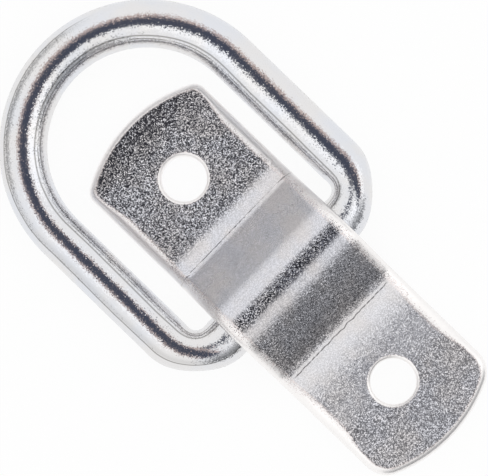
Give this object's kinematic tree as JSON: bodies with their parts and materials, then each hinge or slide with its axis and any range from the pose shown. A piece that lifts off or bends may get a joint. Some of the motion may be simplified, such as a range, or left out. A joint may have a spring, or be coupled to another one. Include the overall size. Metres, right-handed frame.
{
  "type": "bolt on d ring tie down",
  "caption": "D ring of round rod that swings under the raised saddle of a bent flat bar strap, which bolts down through a hole at each end.",
  "frame": {"origin": "centre of the whole part's outline at rest, on the surface that the strap is bolted to", "axes": "+X along the strap, away from the ring's bow; +Y across the strap; +Z away from the mounting surface"},
  "size_m": [0.0904, 0.0472, 0.0114],
  "materials": {
    "strap": "zinc plated over hot-rolled bar, finely pitted, satin",
    "ring": "bright zinc plated over smooth drawn rod"
  },
  "bodies": {
    "strap": {"mounting_strap": "strap"},
    "ring": {"d_ring": "ring"}
  },
  "joints": [
    {"name": "ring_swing", "type": "hinge", "parent": "strap", "child": "ring", "pos_m": [0.00863, 0, 0.00385], "axis": [0, 1, 0], "range_deg": [0, 180]}
  ]
}
